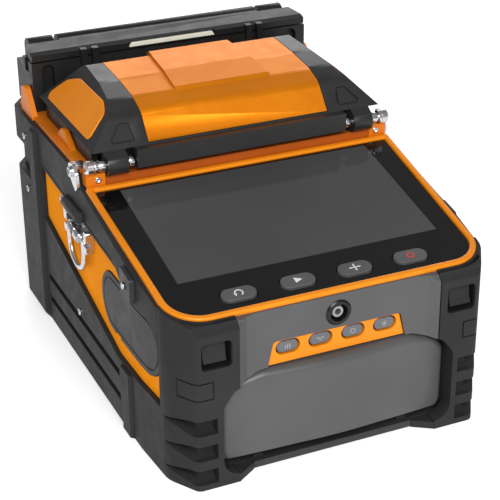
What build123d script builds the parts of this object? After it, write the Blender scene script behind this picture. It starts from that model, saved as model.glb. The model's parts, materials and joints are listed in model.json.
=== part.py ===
"""Fibre fusion splicer: a rugged bench instrument that welds two optical fibres.

The origin is the centre of the bounding box's base. +Z is up and the front, where the
battery slides in, faces -Y. Every sub-part is a separate solid in its own STEP file.
Lengths along Y are given as distances back from the front face, and z from the table.
"""
import os
from math import atan, cos, degrees, hypot, sin

from build123d import *

# ---------------------------------------------------------------- driving dimensions
depth = 194.0              # front face to rear face
half_width = 68.0          # case side, without the strap rings
skin = 6.4                 # thickness of the rubber-clad outer skins
gap = 0.25                 # joint line between neighbouring case pieces
wall = 2.6                 # usual wall of a moulded piece
front = -depth / 2         # y of the front face

# screen unit
screen_rise = 0.214        # slope of the screen deck, rise over run
screen_height = 69.0       # z of the bezel's top plane above the front face
bezel_front = 4.3          # along the slope from the front face
bezel_rear = 92.3
bezel_half_front = 64.9
bezel_half_rear = 67.1
bezel_rim = 2.6
bezel_thick = 1.8
deck_top = 67.1            # top plane of the case under the bezel, given as screen_height is
lip_top = 67.9             # top of the corner lips round the bezel
bezel_corner = 15.0
glass_drop = 1.2           # glass face below the bezel's top
glass_thick = 1.8
menu_key_centres = (-35.6, -11.8, 11.8, 35.6)
menu_key_row = 14.4        # along the slope
menu_key_size = (14.0, 7.0)
menu_key_proud = 1.0

# keypad and optical port on the front panel
panel_face = 4.0
panel_half = 33.2
pillar_inner = 41.6
pillar_top = 66.8          # height behind the chamfer over the front corners
keypad_low = 44.2
keypad_high = 53.9
keypad_face = 5.0
keypad_key_centres = (-20.2, -6.8, 6.8, 20.2)
keypad_key_height = 50.4
keypad_key_size = (8.6, 4.6)
port_height = 60.4
port_radius = 5.2
ferrule_bore = 1.26        # takes a 2.5 mm ferrule
port_sleeve_front = 4.6
port_bore_length = 6.6

# battery
battery_half = 47.6
battery_low = 4.4
battery_top = 43.3
battery_length = 78.0
bay_clearance = 1.0
window_gap = 0.7           # round the battery's face

# side window
cover_centre = 47.9        # port cover, back from the front
cover_height = 49.5
cover_length = 60.0
cover_width = 25.0

# wind cover hinge and body
hinge_back = 91.0
hinge_height = 96.0
hinge_pin_radius = 1.55
pin_clearance = 0.05
knuckle_radius = 4.5
knuckle_inner = 49.8
knuckle_outer = 58.2
cheek_inner = 63.6          # orange hinge cheeks outside the knuckles
cheek_outer = 66.4
cover_base = 101.4         # z of the cover's lower edge
cover_half = 63.2          # half-width at that edge
end_slope = 0.96           # inward run of the end walls per mm of rise
cover_wall = 3.0
panel_half_width = 39.4
panel_thick = 1.5

# splice stage
fibre_back = 125.0         # the fibre axis runs along X here
fibre_height = 99.8
stage_top = 84.0

# heater
heater_front = 165.0
heater_rear = 188.2
heater_half = 64.5
heater_low = 93.1
heater_top = 114.8
lid_axis_back = 183.6
lid_axis_height = 115.6
lid_barrel_radius = 4.6
lid_barrel_half = 47.3
channel_back = 172.6       # middle of the heated channel

# strap rings
ring_bar_back = 99.6
ring_bar_height = 65.3
ring_bar_half_width = 69.2  # how far out of the middle the ring's bar lies
ring_wire = 1.15
ring_half_width = 8.9


# ---------------------------------------------------------------- helpers
def y_at(back):
    """Y of a point that lies this far back from the front face."""
    return front + back


def block(x, back, z):
    """Box between three (low, high) pairs."""
    size = (x[1] - x[0], back[1] - back[0], z[1] - z[0])
    centre = ((x[0] + x[1]) / 2, y_at((back[0] + back[1]) / 2), (z[0] + z[1]) / 2)
    return Pos(*centre) * Box(*size)


def outline(points, radii=0.0):
    """Closed face through the points, each corner rounded by its radius."""
    if isinstance(radii, (int, float)):
        radii = [radii] * len(points)
    face = make_face(Polyline(*points, close=True))
    for point, radius in zip(points, radii):
        if radius > 0:
            corner = face.vertices().sort_by_distance((point[0], point[1], 0))[0]
            face = fillet(corner, radius)
    return face


def side_prism(face, x):
    """Extrude a (back, z) face along X between x[0] and x[1]."""
    plane = Plane(origin=(x[0], front, 0), x_dir=(0, 1, 0), z_dir=(1, 0, 0))
    return extrude(plane * face, amount=x[1] - x[0])


def front_prism(face, back):
    """Extrude an (x, z) face backwards between back[0] and back[1]."""
    plane = Plane(origin=(0, y_at(back[0]), 0), x_dir=(1, 0, 0), z_dir=(0, -1, 0))
    return extrude(plane * face, amount=-(back[1] - back[0]))


def plan_prism(face, z):
    """Extrude an (x, back) face upwards between z[0] and z[1]."""
    return extrude(Pos(0, front, z[0]) * face, amount=z[1] - z[0])


def rod_x(x, back, z, radius):
    """Round bar along X from x[0] to x[1]."""
    bar = Cylinder(radius, x[1] - x[0], rotation=(0, 90, 0))
    return Pos((x[0] + x[1]) / 2, y_at(back), z) * bar


def rod_y(x, back, z, radius):
    """Round bar along Y between back[0] and back[1]."""
    bar = Cylinder(radius, back[1] - back[0], rotation=(90, 0, 0))
    return Pos(x, y_at((back[0] + back[1]) / 2), z) * bar


def pill(size):
    """Flat oval with round ends."""
    return SlotOverall(size[0], size[1])


def mirrored(shape):
    """The same shape on the other side of the middle plane."""
    return mirror(shape, about=Plane.YZ)


def both_sides(shape):
    """A shape and its mirror image as one group of separate solids."""
    return Compound(children=[*shape.solids(), *mirrored(shape).solids()])


def slope_z(height, back):
    """Z of a plane parallel to the screen deck."""
    return height + screen_rise * back


# ---------------------------------------------------------------- outer skins
half_plan = [
    (58.5, 0.0), (66.0, 12.5), (67.7, 36.0), (half_width, 54.0),
    (half_width, 150.0), (69.0, 156.0), (69.0, 183.0), (61.0, depth),
]


plan_radii = [3.2, 12, 0, 0, 0, 0, 6, 4]


def case_face(inset=0.0):
    """Plan outline of the case, moved inwards by inset; the inner faces of skins keep sharp corners."""
    left = [(-x, back) for x, back in reversed(half_plan)]
    radii = plan_radii + plan_radii[::-1] if inset < 3.0 else 0
    face = outline(half_plan + left, radii)
    if inset > 0:
        face = offset(face, amount=-inset, kind=Kind.INTERSECTION)
    return face


def side_skin(region, outer_inset=0.0, thickness=skin):
    """Left-hand skin of the case inside a (back, z) region."""
    low, high = 0.0, 110.0
    shell = plan_prism(case_face(outer_inset), (low, high))
    shell = shell - plan_prism(case_face(outer_inset + thickness), (low - 1, high + 1))
    return shell & side_prism(region, (-75, -20))


def battery_window(grow):
    """(x, z) outline of the battery, grown evenly."""
    half = battery_half + grow
    top = battery_top + grow
    low = battery_low - grow
    points = [
        (-half, low), (half, low), (half, 33.5), (half - 4.5, 39.3 + grow),
        (31, top), (-31, top), (-half + 4.5, 39.3 + grow), (-half, 33.5),
    ]
    return outline(points, [7, 7, 4, 5, 12, 12, 5, 4])


guard_front_edge = 17.3    # where the front guard ends above the sill
guard_sill = 29.6          # top of the guard's low rear arm
guard_rear = 54.0
skirt_rear = 150.0
rail_low_rear = 75.0
rail_low_front = 69.2


def gill_cut(low):
    """Slot that wraps the front corner and tapers to a point along the side."""
    high = low + 6.4
    plan = outline([(-50.6, -2), (-50.6, 4.6), (-57.0, 5.0), (-61.5, 13.5), (-72, 17), (-72, -2)])
    slot = plan_prism(plan, (low, high))
    wedge = outline([(-2, low), (2.5, low), (14.5, low + 3.6), (14.5, low + 3.8), (2.5, high), (-2, high)])
    return slot & side_prism(wedge, (-75, -45))


def make_front_guard():
    """Left front corner guard: pillar, low arm, gills, recess and corner pocket."""
    region = outline([
        (-2, 0), (guard_rear, 0), (guard_rear, guard_sill - 0.3), (guard_front_edge, guard_sill),
        (guard_front_edge, slope_z(lip_top, guard_front_edge)), (2.2, slope_z(lip_top, 2.2)),
        (2.2, pillar_top), (-2, pillar_top - 3.6),
    ])
    guard = side_skin(region)
    guard = guard - front_prism(battery_window(window_gap), (-5, 30))
    guard = guard - block((-pillar_inner, 0), (-2, 30), (-1, 90))
    bottom_bar = plan_prism(outline([(-50, 0), (-42, 0), (-34, 5.2), (-34, 6.7), (-50, 6.7)]), (0, 3.0))
    guard = guard + bottom_bar
    rib = block((-69.2, -64), (43.5, guard_rear), (0, guard_sill - 1.2))
    rib = chamfer(rib.edges().filter_by(Axis.Z).sort_by(Axis.X)[:2], 1.2)
    guard = guard + rib
    for low in (2.4, 12.9, 23.8):
        guard = guard - gill_cut(low)
    pocket_face = outline([(-56.6, 51.1), (-44.5, 51.1), (-44.5, 61.9), (-56.6, 61.9)], 1.6)
    pocket = front_prism(pocket_face, (-1, 5.6))
    insert = side_prism(outline([
        (1.7, 52.8), (1.1, 53.6), (2.2, 55.6), (2.8, 60.6), (6.2, 60.6), (6.2, 52.8),
    ]), (-55.3, -46.4))
    guard = guard - pocket + insert
    slot = deck_prism(bezel_outline(-2.3) - bezel_outline(-1.0), 1, -6)
    guard = guard - (slot & block((-61.5, -38.0), (0, 9.0), (55.0, 80.0)))
    badge_outer = side_skin(outline([(-2, 38.7), (8.2, 38.7), (8.2, 46.3), (-2, 46.3)]), 0, 0.7)
    badge_inner = side_skin(outline([(-2, 39.3), (7.6, 39.3), (7.6, 45.7), (-2, 45.7)]), 0, 0.7)
    badge_window = block((-80, -51.8), (-5, 10), (30, 50))
    inner_window = block((-80, -52.4), (-5, 10), (30, 50))
    guard = guard - (badge_outer & badge_window) + (badge_inner & inner_window)
    return guard - screen_pocket()


def make_side_skirt():
    """Left lower skirt with its two long grooves."""
    region = outline([
        (guard_rear + gap, 0), (skirt_rear - gap, 0), (skirt_rear - gap, 50.3), (60.0, 29.3),
        (guard_rear + gap, 29.3),
    ])
    skirt = side_skin(region)
    for low in (9.6, 20.6):
        skirt = skirt - block((-72, -65.6), (58.0, skirt_rear + 2), (low, low + 2.9))
    return skirt


def make_side_panel():
    """Left orange side panel, with the round-ended window for the sockets."""
    points = [
        (guard_front_edge + gap, 30.0), (60.0, 29.6), (skirt_rear - gap, 50.6),
        (skirt_rear - gap, rail_low_rear - gap), (56.0, rail_low_front - gap),
        (48.0, 62.0), (48.0, cover_height), (guard_front_edge + gap, cover_height),
    ]
    panel = side_skin(outline(points), 1.9, 4.0)
    window = Pos(cover_centre, cover_height) * pill((cover_length + 0.7, cover_width + 0.7))
    return panel - side_prism(window, (-75, -55))


def make_side_rail():
    """Left upper rail, which follows the screen deck and then the splice chamber."""
    step = 97.6
    points = [
        (guard_front_edge + gap, cover_height + gap), (47.6, cover_height + gap),
        (47.6, 62.0), (55.6, rail_low_front), (skirt_rear - gap, rail_low_rear),
        (skirt_rear - gap, 91.2), (step, 91.2), (step, slope_z(66.3, step)), (90.4, slope_z(66.3, 90.4)),
        (90.4, slope_z(deck_top, 90.4)), (guard_front_edge + gap, slope_z(deck_top, guard_front_edge)),
    ]
    rail = side_skin(outline(points))
    window = Pos(cover_centre, cover_height) * pill((cover_length + 0.7, cover_width + 0.7))
    rail = rail - side_prism(window, (-75, -55))
    bevel = [(-70, 67.5), (-67.2, 67.5), (-68.2, 65.8), (-70, 65.8)]
    deck = Plane(origin=(0, front, 0), x_dir=(1, 0, 0), z_dir=(0, -1, 0))
    slope = atan(screen_rise)
    cutter = extrude(deck * outline(bevel), amount=110, dir=(0, cos(slope), sin(slope)))
    cutter = cutter & block((-80, 0), (0, step - 1), (0, 120))
    line = [(60.0, 70.6), (148.0, 76.2), (148.0, 76.8), (60.0, 71.2)]
    ridge_line = side_prism(outline(line), (-75, -55)) - plan_prism(case_face(0.6), (50, 100))
    return rail - cutter - ridge_line - screen_pocket()


def make_rear_guard():
    """Left rear corner guard with its waist and the upright rib."""
    region = outline([(skirt_rear, 0), (depth + 2, 0), (depth + 2, 91.2), (skirt_rear, 91.2)])
    guard = side_skin(region)
    guard = guard - block((-44, 0), (-2, depth + 2), (-1, 120))
    waist = side_skin(outline([(164, 63), (depth + 2, 63), (depth + 2, 77), (164, 77)]), 0, 3.0)
    guard = guard - waist
    rib = block((-70.0, -66), (skirt_rear + 1.5, skirt_rear + 8.5), (1.5, 90.0))
    rib = chamfer(rib.edges().filter_by(Axis.Z).sort_by(Axis.X)[:2], 1.3)
    rib = chamfer(rib.edges().filter_by(Axis.Y).sort_by(Axis.X)[:2], 1.3)
    return guard + rib


# ---------------------------------------------------------------- base and panels
def make_base_tray():
    """Bottom moulding: floor, low walls, battery bay and front lip."""
    inner = case_face(skin + 0.2)
    tray = plan_prism(inner, (0.6, 3.2))
    tray = tray & block((-80, 80), (7.0, depth - 6.8), (0, 10))
    rim = plan_prism(inner, (0.6, 28.0)) - plan_prism(case_face(skin + 0.2 + 2.2), (0, 30))
    rim = rim & block((-80, 80), (60, depth - 6.8), (0, 40))
    bay_half = battery_half + bay_clearance
    bay_rear = battery_length + 4
    sides = block((bay_half, bay_half + 1.8), (7.2, bay_rear), (3.2, 41.0))
    back = block((-bay_half - 1.8, bay_half + 1.8), (bay_rear, bay_rear + 2), (3.2, 41.0))
    lip = plan_prism(outline([(-33.8, 5.3), (33.8, 5.3), (33.8, 7.1), (-33.8, 7.1)]), (0.3, 3.2))
    rail = block((29.0, 33.0), (8.0, bay_rear), (3.2, battery_low - 0.1))
    return tray + rim + sides + mirrored(sides) + back + lip + rail + mirrored(rail)


def make_rear_panel():
    """Rear closing panel with a grille for the fan."""
    panel = block((-43.7, 43.7), (188.4, 192.2), (0.6, 92.6))
    for row in range(6):
        low = 40.0 + row * 5.5
        panel = panel - front_prism(Pos(0, low) * pill((36, 2.4)), (186, 196))
    plate = front_prism(outline([(-36, 10), (36, 10), (36, 30), (-36, 30)], 3), (192.2, 192.9))
    return panel + plate


def make_chassis_side():
    """Left orange chassis plate with hinge cheek, top flange, fibre wedge and rear ear."""
    plate = side_prism(outline([
        (74, 28.2), (178, 28.2), (178, 91.5), (hinge_back - 0.2, 91.5), (hinge_back - 0.2, 76), (57, 68.5),
        (57, 61.5), (74, 61.5),
    ]), (-61.2, -58.6))
    cheek_x = (-cheek_outer, -cheek_inner)
    cheek = side_prism(outline([
        (hinge_back - 0.2, 87.6), (96.4, 87.6), (96.4, 93.0), (93.4, hinge_height),
        (hinge_back - 0.2, hinge_height),
    ]), cheek_x)
    cheek = cheek + rod_x(cheek_x, hinge_back, hinge_height, 2.7)
    root = block((-cheek_inner - 0.5, -58.6), (hinge_back - 0.2, 97.4), (87.6, 92.9))
    shelf = block((-cheek_outer, -58.6), (hinge_back - 0.2, 104.0), (91.5, 93.0))
    shelf = shelf & plan_prism(case_face(1.0), (80, 100))
    root = root + shelf - block((-70, -58), (80, 93), (93.0, 93.2))
    flange = block((-66.6, -58.6), (98.0, 181.0), (91.5, 93.0))
    wedge = side_prism(outline([(117, 93.0), (136, 93.0), (128.5, 99.0), (126.5, 99.0)]), (-64.2, -61.6))
    ear_face = outline([(160, 93.0), (176, 93.0), (174.5, 102.5), (169, 104.5)], [0, 2, 2, 3])
    ear = side_prism(ear_face, (-67.4, -64.8))
    ear_root = block((-67.4, -58.6), (160.0, 176.0), (91.5, 93.0))
    side = plate + cheek + root + flange + wedge + ear + ear_root
    bore = rod_x((-69, -62), hinge_back, hinge_height, hinge_pin_radius + pin_clearance)
    return side - bore


def make_chassis_wall():
    """Cross wall between the screen and the splice chamber."""
    wall_plate = block((-58.4, 58.4), (hinge_back - 0.2, 93.4), (50.0, 91.2))
    lip = block((-48.0, 48.0), (93.4, 95.0), (86.0, 91.2))
    return wall_plate + lip


def make_front_panel():
    """Centre front panel with openings for the keypad and the optical port."""
    plan = outline([
        (-pillar_inner + gap, 0.5), (-37.6, 3.1), (-panel_half, panel_face), (panel_half, panel_face),
        (37.6, 3.1), (pillar_inner - gap, 0.5), (pillar_inner - gap, 7.6), (-pillar_inner + gap, 7.6),
    ])
    panel = plan_prism(plan, (40, 70))
    top = outline([(-2, 38), (10, 38), (10, slope_z(deck_top, 10)), (2.2, slope_z(deck_top, 2.2)),
                   (2.2, pillar_top), (-2, pillar_top - 3.6)])
    panel = panel & side_prism(top, (-45, 45))
    panel = panel - front_prism(battery_window(window_gap), (-5, 30))
    keypad = keypad_outline(gap)
    panel = panel - front_prism(keypad, (0, 12))
    panel = panel - rod_y(0, (0, 12), port_height, port_radius + 0.05)
    return panel - screen_pocket()


def keypad_outline(grow=0.0):
    """(x, z) outline of the keypad strip."""
    low_half = 28.5 + grow
    high_half = 26.2 + grow
    points = [(-low_half, keypad_low - grow), (low_half, keypad_low - grow),
              (high_half, keypad_high + grow), (-high_half, keypad_high + grow)]
    return outline(points, [0, 0, 1.6, 1.6])


def make_keypad_strip():
    """Orange strip with four oval wells for its keys."""
    strip = front_prism(keypad_outline(), (keypad_face, 7.6))
    well = (keypad_key_size[0] + 1.4, keypad_key_size[1] + 1.4)
    for centre in keypad_key_centres:
        strip = strip - front_prism(Pos(centre, keypad_key_height) * pill(well), (4, 9))
    return strip


def make_keypad_key(centre):
    """Small oval key that is pushed backwards; its foot keeps it behind the strip."""
    place = Pos(centre, keypad_key_height)
    key = front_prism(place * pill(keypad_key_size), (5.2, 8.0))
    key = fillet(key.faces().sort_by(Axis.Y)[0].edges(), 0.5)
    foot = front_prism(place * pill((keypad_key_size[0] + 3, keypad_key_size[1] + 3)), (8.0, 9.0))
    return key + foot


def make_optical_port():
    """Round optical connector port with a centre sleeve."""
    ring = rod_y(0, (3.4, 7.8), port_height, port_radius)
    ring = chamfer(ring.faces().sort_by(Axis.Y)[0].edges(), 0.7)
    ring = ring - rod_y(0, (2.0, 6.9), port_height, 3.6)
    sleeve = rod_y(0, (port_sleeve_front, 12.0), port_height, 2.2)
    bore = rod_y(0, (2.0, port_sleeve_front + port_bore_length), port_height, ferrule_bore)
    return ring + sleeve - bore


def make_battery_pack():
    """Slide-in battery whose front face bulges gently."""
    body = front_prism(battery_window(0), (0, battery_length))
    bulge = make_face(
        [
            ThreePointArc((-battery_half - 2, 6.0), (0, 0.6), (battery_half + 2, 6.0)),
            Polyline(
                (battery_half + 2, 6.0), (battery_half + 2, 100), (-battery_half - 2, 100), (-battery_half - 2, 6.0)
            ),
        ]
    )
    body = body & plan_prism(bulge, (0, 60))
    chin = side_prism(outline([(-2, 0), (13, 0), (13, 4.2), (1.2, 9.6), (-2, 9.6)]), (-60, 60))
    body = body - chin
    front_edges = body.edges().filter_by(lambda edge: edge.center().Y < y_at(8) and edge.center().Z > 10)
    return fillet(front_edges, 3.4)


# ---------------------------------------------------------------- screen unit
slope_angle = atan(screen_rise)
screen_plane = Plane(
    origin=(0, front, screen_height), x_dir=(1, 0, 0), z_dir=(0, -sin(slope_angle), cos(slope_angle))
)


def deck_prism(face, top, bottom):
    """Extrude a face of the sloping screen plane between two depths below it."""
    return extrude(screen_plane.offset(bottom) * face, amount=top - bottom)


def bezel_outline(inset=0.0):
    """Outline of the bezel on the screen plane, moved inwards."""
    points = [
        (-bezel_half_front + inset, bezel_front + inset), (bezel_half_front - inset, bezel_front + inset),
        (bezel_half_rear - inset, bezel_rear - inset), (-bezel_half_rear + inset, bezel_rear - inset),
    ]
    corner = bezel_corner - inset
    return outline(points, [corner, corner, 0.5, 0.5])


def screen_pocket():
    """Space that the neighbours leave for the bezel, the glass and the tray."""
    tray_space = deck_prism(bezel_outline(bezel_rim - 0.15), -bezel_thick - 0.05, -7.15)
    return tray_space + deck_prism(bezel_outline(-0.12), 3, -bezel_thick - 0.05)


def make_screen_bezel():
    """Orange rim around the glass."""
    rim = deck_prism(bezel_outline(), 0, -bezel_thick)
    rim = rim - deck_prism(bezel_outline(bezel_rim), 1, -bezel_thick - 1)
    top = rim.faces().sort_by(Axis((0, 0, 0), tuple(screen_plane.z_dir)))[-1]
    return fillet(top.edges(), 0.9)


def menu_key_place(centre):
    """Where a menu key's centre lies on the screen plane."""
    return Pos(centre, menu_key_row)


def make_screen_glass():
    """Cover glass with four holes for the menu keys."""
    glass = deck_prism(bezel_outline(bezel_rim + 0.1), -glass_drop, -glass_drop - glass_thick)
    hole = (menu_key_size[0] + 1.0, menu_key_size[1] + 1.0)
    for centre in menu_key_centres:
        glass = glass - deck_prism(menu_key_place(centre) * pill(hole), 1, -8)
    return glass


def make_lcd_module():
    """Liquid crystal panel under the glass."""
    face = outline([(-57, 24.5), (57, 24.5), (57, 87.6), (-57, 87.6)], 1.0)
    return deck_prism(face, -glass_drop - glass_thick - 0.1, -5.4)


def make_screen_tray():
    """Black tray that carries the glass, the panel and the key board."""
    floor = deck_prism(bezel_outline(3.4), -5.5, -6.9)
    rim = deck_prism(bezel_outline(3.4), -glass_drop - glass_thick - 0.1, -5.5)
    rim = rim - deck_prism(bezel_outline(4.5), 0, -8)
    return floor + rim


def make_menu_key(centre):
    """Oval menu key; the wider foot under the glass retains it."""
    place = menu_key_place(centre)
    top = -glass_drop + menu_key_proud
    key = deck_prism(place * pill(menu_key_size), top, -3.4)
    key = fillet(key.faces().sort_by(Axis.Z)[-1].edges(), 0.6)
    foot = deck_prism(place * pill((menu_key_size[0] + 2.4, menu_key_size[1] + 2.4)), -3.4, -4.3)
    return key + foot


# ---------------------------------------------------------------- wind cover
def cover_profile(drop=0.0):
    """(back, z) profile of the wind cover, its lower edge let down by drop."""
    low = cover_base - drop
    front_run = 9.0 / 10.9
    rear_run = 15.5 / 17.0
    points = [
        (91.4 - drop * front_run, low), (100.4, 112.3), (109.0, 115.4), (125.0, 117.3),
        (146.0, 118.4), (161.5 + drop * rear_run, low),
    ]
    return outline(points, [0, 8, 12, 40, 5, 0])


def cover_section(inset=0.0, drop=0.0):
    """(x, z) section of the wind cover with its sloping end walls."""
    low = cover_base - drop
    high = 126.0
    wall_run = inset * hypot(1, end_slope)
    low_half = cover_half + drop * end_slope - wall_run
    high_half = cover_half - (high - cover_base) * end_slope - wall_run
    return outline([(-low_half, low), (low_half, low), (high_half, high), (-high_half, high)])


def cover_solid(inset=0.0, drop=0.0):
    """Solid of the cover's shape, moved inwards by inset."""
    profile = cover_profile(drop)
    if inset > 0:
        profile = offset(profile, amount=-inset, kind=Kind.INTERSECTION)
    return side_prism(profile, (-70, 70)) & front_prism(cover_section(inset, drop), (80, 175))


def end_wall_plane():
    """Plane on the right end wall: x along +Y, y up the slope."""
    length = hypot(1, end_slope)
    normal = (1 / length, 0, end_slope / length)
    return Plane(origin=(cover_half, front, cover_base), x_dir=(0, 1, 0), z_dir=normal)


def end_inlay_face(grow=0.0):
    """Outline of the end wall's orange inlay: (back, distance up the slope)."""
    stretch = hypot(1, end_slope)
    heights = [1.7, 10.8, 13.0, 13.0, 10.0, 3.4]
    backs = [101.0, 104.6, 112.0, 141.0, 149.5, 155.5]
    points = [(back, height * stretch) for back, height in zip(backs, heights)]
    points.append((153.0, heights[0] * stretch))
    face = outline(points, [2, 5, 6, 10, 5, 2.5, 1.5])
    if grow > 0:
        face = offset(face, amount=grow)
    return face


def front_slope_plane():
    """Plane on the cover's steep front: x along +X, y up the slope."""
    run, rise = 9.0, 10.9
    length = hypot(run, rise)
    return Plane(
        origin=(0, y_at(91.4), cover_base), x_dir=(1, 0, 0), z_dir=(0, -rise / length, run / length)
    )


def make_wind_cover_frame():
    """Black shell of the wind cover with its front bar and hinge knuckles."""
    shell = cover_solid() - cover_solid(cover_wall, 6.0)
    sheet = side_prism(cover_profile(), (-panel_half_width - 0.2, panel_half_width + 0.2))
    core = offset(cover_profile(6.0), amount=-panel_thick - 0.2, kind=Kind.INTERSECTION)
    sheet = sheet - side_prism(core, (-70, 70))
    sheet = sheet & block((-60, 60), (80, 149.8), (cover_base + 0.6, 130))
    shell = shell - sheet
    inlay = extrude(end_wall_plane().offset(-1.0) * end_inlay_face(0.25), amount=4)
    shell = shell - inlay - mirrored(inlay)
    pad = outline([(44.6, 2.2), (56.2, 2.2), (50.2, 10.4), (45.6, 10.4)], [1.6, 1.6, 1.6, 1.6])
    groove = pad - offset(pad, amount=-0.75)
    recess = extrude(front_slope_plane().offset(-0.9) * groove, amount=4)
    shell = shell - recess - mirrored(recess)
    bar = side_prism(outline([
        (87.6, 93.8), (90.6, 93.8), (90.6, 97.0), (94.6, 101.0), (94.6, 101.9), (92.0, 101.9), (91.4, 101.4),
        (87.6, 101.4),
    ]), (-46.0, 46.0))
    arm = side_prism(outline([(87.6, 95.6), (94.4, 95.6), (98.4, 104.8), (96.0, 105.0), (93.0, 103.0),
                              (91.4, 101.4), (87.6, 99.4)]), (-knuckle_outer, -knuckle_inner))
    arm = arm + rod_x((-knuckle_outer, -knuckle_inner), hinge_back, hinge_height, knuckle_radius)
    arm = arm - rod_x((-60, -48), hinge_back, hinge_height, hinge_pin_radius + pin_clearance)
    return shell + bar + arm + mirrored(arm)


def make_wind_cover_panel():
    """Orange top panel with its raised middle."""
    half = panel_half_width
    sheet = side_prism(cover_profile(), (-half, half))
    core = offset(cover_profile(6.0), amount=-panel_thick, kind=Kind.INTERSECTION)
    sheet = sheet - side_prism(core, (-70, 70))
    sheet = sheet & block((-60, 60), (80, 149.6), (cover_base + 0.8, 130))
    ridge_profile = outline([(106.0, 113.6), (110.0, 116.4), (125.0, 118.5), (146.5, 119.6), (149.4, 118.0),
                             (149.4, 114.6), (146.0, 117.2), (125.0, 116.2), (109.0, 114.2)])
    ridge = side_prism(ridge_profile, (-23, 23))
    ridge = ridge & plan_prism(outline([(-21.5, 105), (21.5, 105), (18, 150), (-18, 150)]), (100, 130))
    ridge = ridge - side_prism(core, (-70, 70))
    return sheet + ridge


def make_end_inlays():
    """Orange inlays on both end walls."""
    inlay = extrude(end_wall_plane().offset(-0.95) * end_inlay_face(), amount=1.35)
    inlay = fillet(inlay.faces().sort_by(Axis.X)[-1].edges(), 0.35)
    return both_sides(inlay)


def make_cover_mirror():
    """Lamp and mirror carrier on the cover's underside, with a foot above each V-groove."""
    carrier = block((-20, 20), (116, 134), (109.0, 118.0)) & cover_solid(cover_wall)
    notch = side_prism(outline([(120, 108), (130, 108), (125, 111.5)]), (-30, 30))
    foot = block((9.5, 13.5), (122.5, 127.5), (101.2, 112.0))
    return carrier - notch + foot + mirrored(foot)


# ---------------------------------------------------------------- hinges
def make_hinge_pins():
    """Two pins of the wind cover and the long pin of the heater lid."""
    cover_pin = rod_x((-cheek_outer - 0.1, -46.6), hinge_back, hinge_height, hinge_pin_radius)
    flanged_nut = rod_x((-cheek_inner + 0.1, -62.4), hinge_back, hinge_height, 2.9)
    flanged_nut = flanged_nut + rod_x((-62.4, -61.2), hinge_back, hinge_height, 2.0)
    inner_nut = rod_x((-61.2, -58.6), hinge_back, hinge_height, 2.5)
    end_nut = rod_x((-48.8, -46.8), hinge_back, hinge_height, 2.2)
    cover_pin = cover_pin + flanged_nut + inner_nut + end_nut
    lid_pin = rod_x((-58.6, 58.6), lid_axis_back, lid_axis_height, 1.5)
    return Compound(children=[*cover_pin.solids(), *mirrored(cover_pin).solids(), *lid_pin.solids()])


def make_hinge_brackets():
    """Outer straps that tie the hinge cheeks to the rails."""
    strap = side_prism(outline([(94.4, 86.4), (96.6, 84.6), (99.4, 86.0), (104.4, 90.0), (104.2, 94.2), (98.6, 95.6),
                                (95.4, 92.2)], [1.2, 1, 1.5, 1.5, 1.5, 2, 2]), (-69.4, -68.05))
    hook = block((-69.0, -63.9), (98.2, 103.6), (93.1, 94.4))
    return both_sides(strap + hook)


def make_lid_hinge_blocks():
    """End blocks that carry the heater lid's pin."""
    end = rod_x((49.4, 60.6), lid_axis_back, lid_axis_height, lid_barrel_radius)
    foot = block((49.4, 60.6), (lid_axis_back - 3.6, heater_rear - 0.2), (110.8, lid_axis_height))
    end = end + foot
    end = end - rod_x((48, 58.8), lid_axis_back, lid_axis_height, 1.5)
    return both_sides(end)


# ---------------------------------------------------------------- splice stage
def make_stage_plate():
    """Machined plate that carries the alignment stage."""
    plate = block((-58.4, 58.4), (95.2, 164.0), (79.0, stage_top))
    for side in (-1, 1):
        for back in (100.5, 158.0):
            plate = plate - Pos(side * 52, y_at(back), stage_top) * Cylinder(2.2, 4)
    return plate


def make_vgroove_block():
    """Ceramic block with a V-groove on each side of the arc gap."""
    block_half = 17.0
    base = block((-block_half, block_half), (119.5, 130.5), (stage_top, 88.0))
    post = block((5.2, block_half), (119.5, 130.5), (88.0, fibre_height + 0.3))
    groove = side_prism(outline([(124.2, fibre_height + 0.6), (125.8, fibre_height + 0.6),
                                 (fibre_back, fibre_height - 0.4)]), (0, 30))
    post = post - groove
    return base + post + mirrored(post)


def make_electrodes():
    """Two tungsten electrodes that point at the fibre ends."""
    rod = rod_y(0, (103.0, 121.0), fibre_height, 1.0)
    tip = Pos(0, y_at(122.2), fibre_height) * Cone(1.0, 0.15, 2.4, rotation=(-90, 0, 0))
    head = rod_y(0, (101.2, 103.0), fibre_height, 2.0)
    near = rod + tip + head
    far = mirror(near, about=Plane.XZ.offset(-y_at(fibre_back)))
    return Compound(children=[*near.solids(), *far.solids()])


def make_electrode_clamps():
    """Clamp blocks with a knurled thumb screw on each electrode."""
    clamp = block((-5.5, 5.5), (104.0, 111.0), (stage_top, 103.0))
    clamp = clamp - rod_y(0, (100, 115), fibre_height, 1.05)
    knob = Pos(0, y_at(107.5), 104.9) * Cylinder(3.0, 3.8)
    near = clamp + knob
    far = mirror(near, about=Plane.XZ.offset(-y_at(fibre_back)))
    return Compound(children=[*near.solids(), *far.solids()])


def make_objectives():
    """Two microscope objectives that look up at the fibres at 45 degrees."""
    reach = 12.0
    drop = reach * sin(0.7854)
    barrel = Cylinder(3.3, 9.0, rotation=(45, 0, 0))
    lens = Pos(0, y_at(fibre_back - drop), fibre_height - drop) * barrel
    foot = block((-3.3, 3.3), (fibre_back - drop - 4.6, fibre_back - drop + 1.4), (88.0, 90.4))
    near = (lens + foot) & block((-5, 5), (111.2, 119.4), (80, 99))
    near = near + block((-3.3, 3.3), (112.0, 119.2), (stage_top, 88.0))
    far = mirror(near, about=Plane.XZ.offset(-y_at(fibre_back)))
    return Compound(children=[*near.solids(), *far.solids()])


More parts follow.
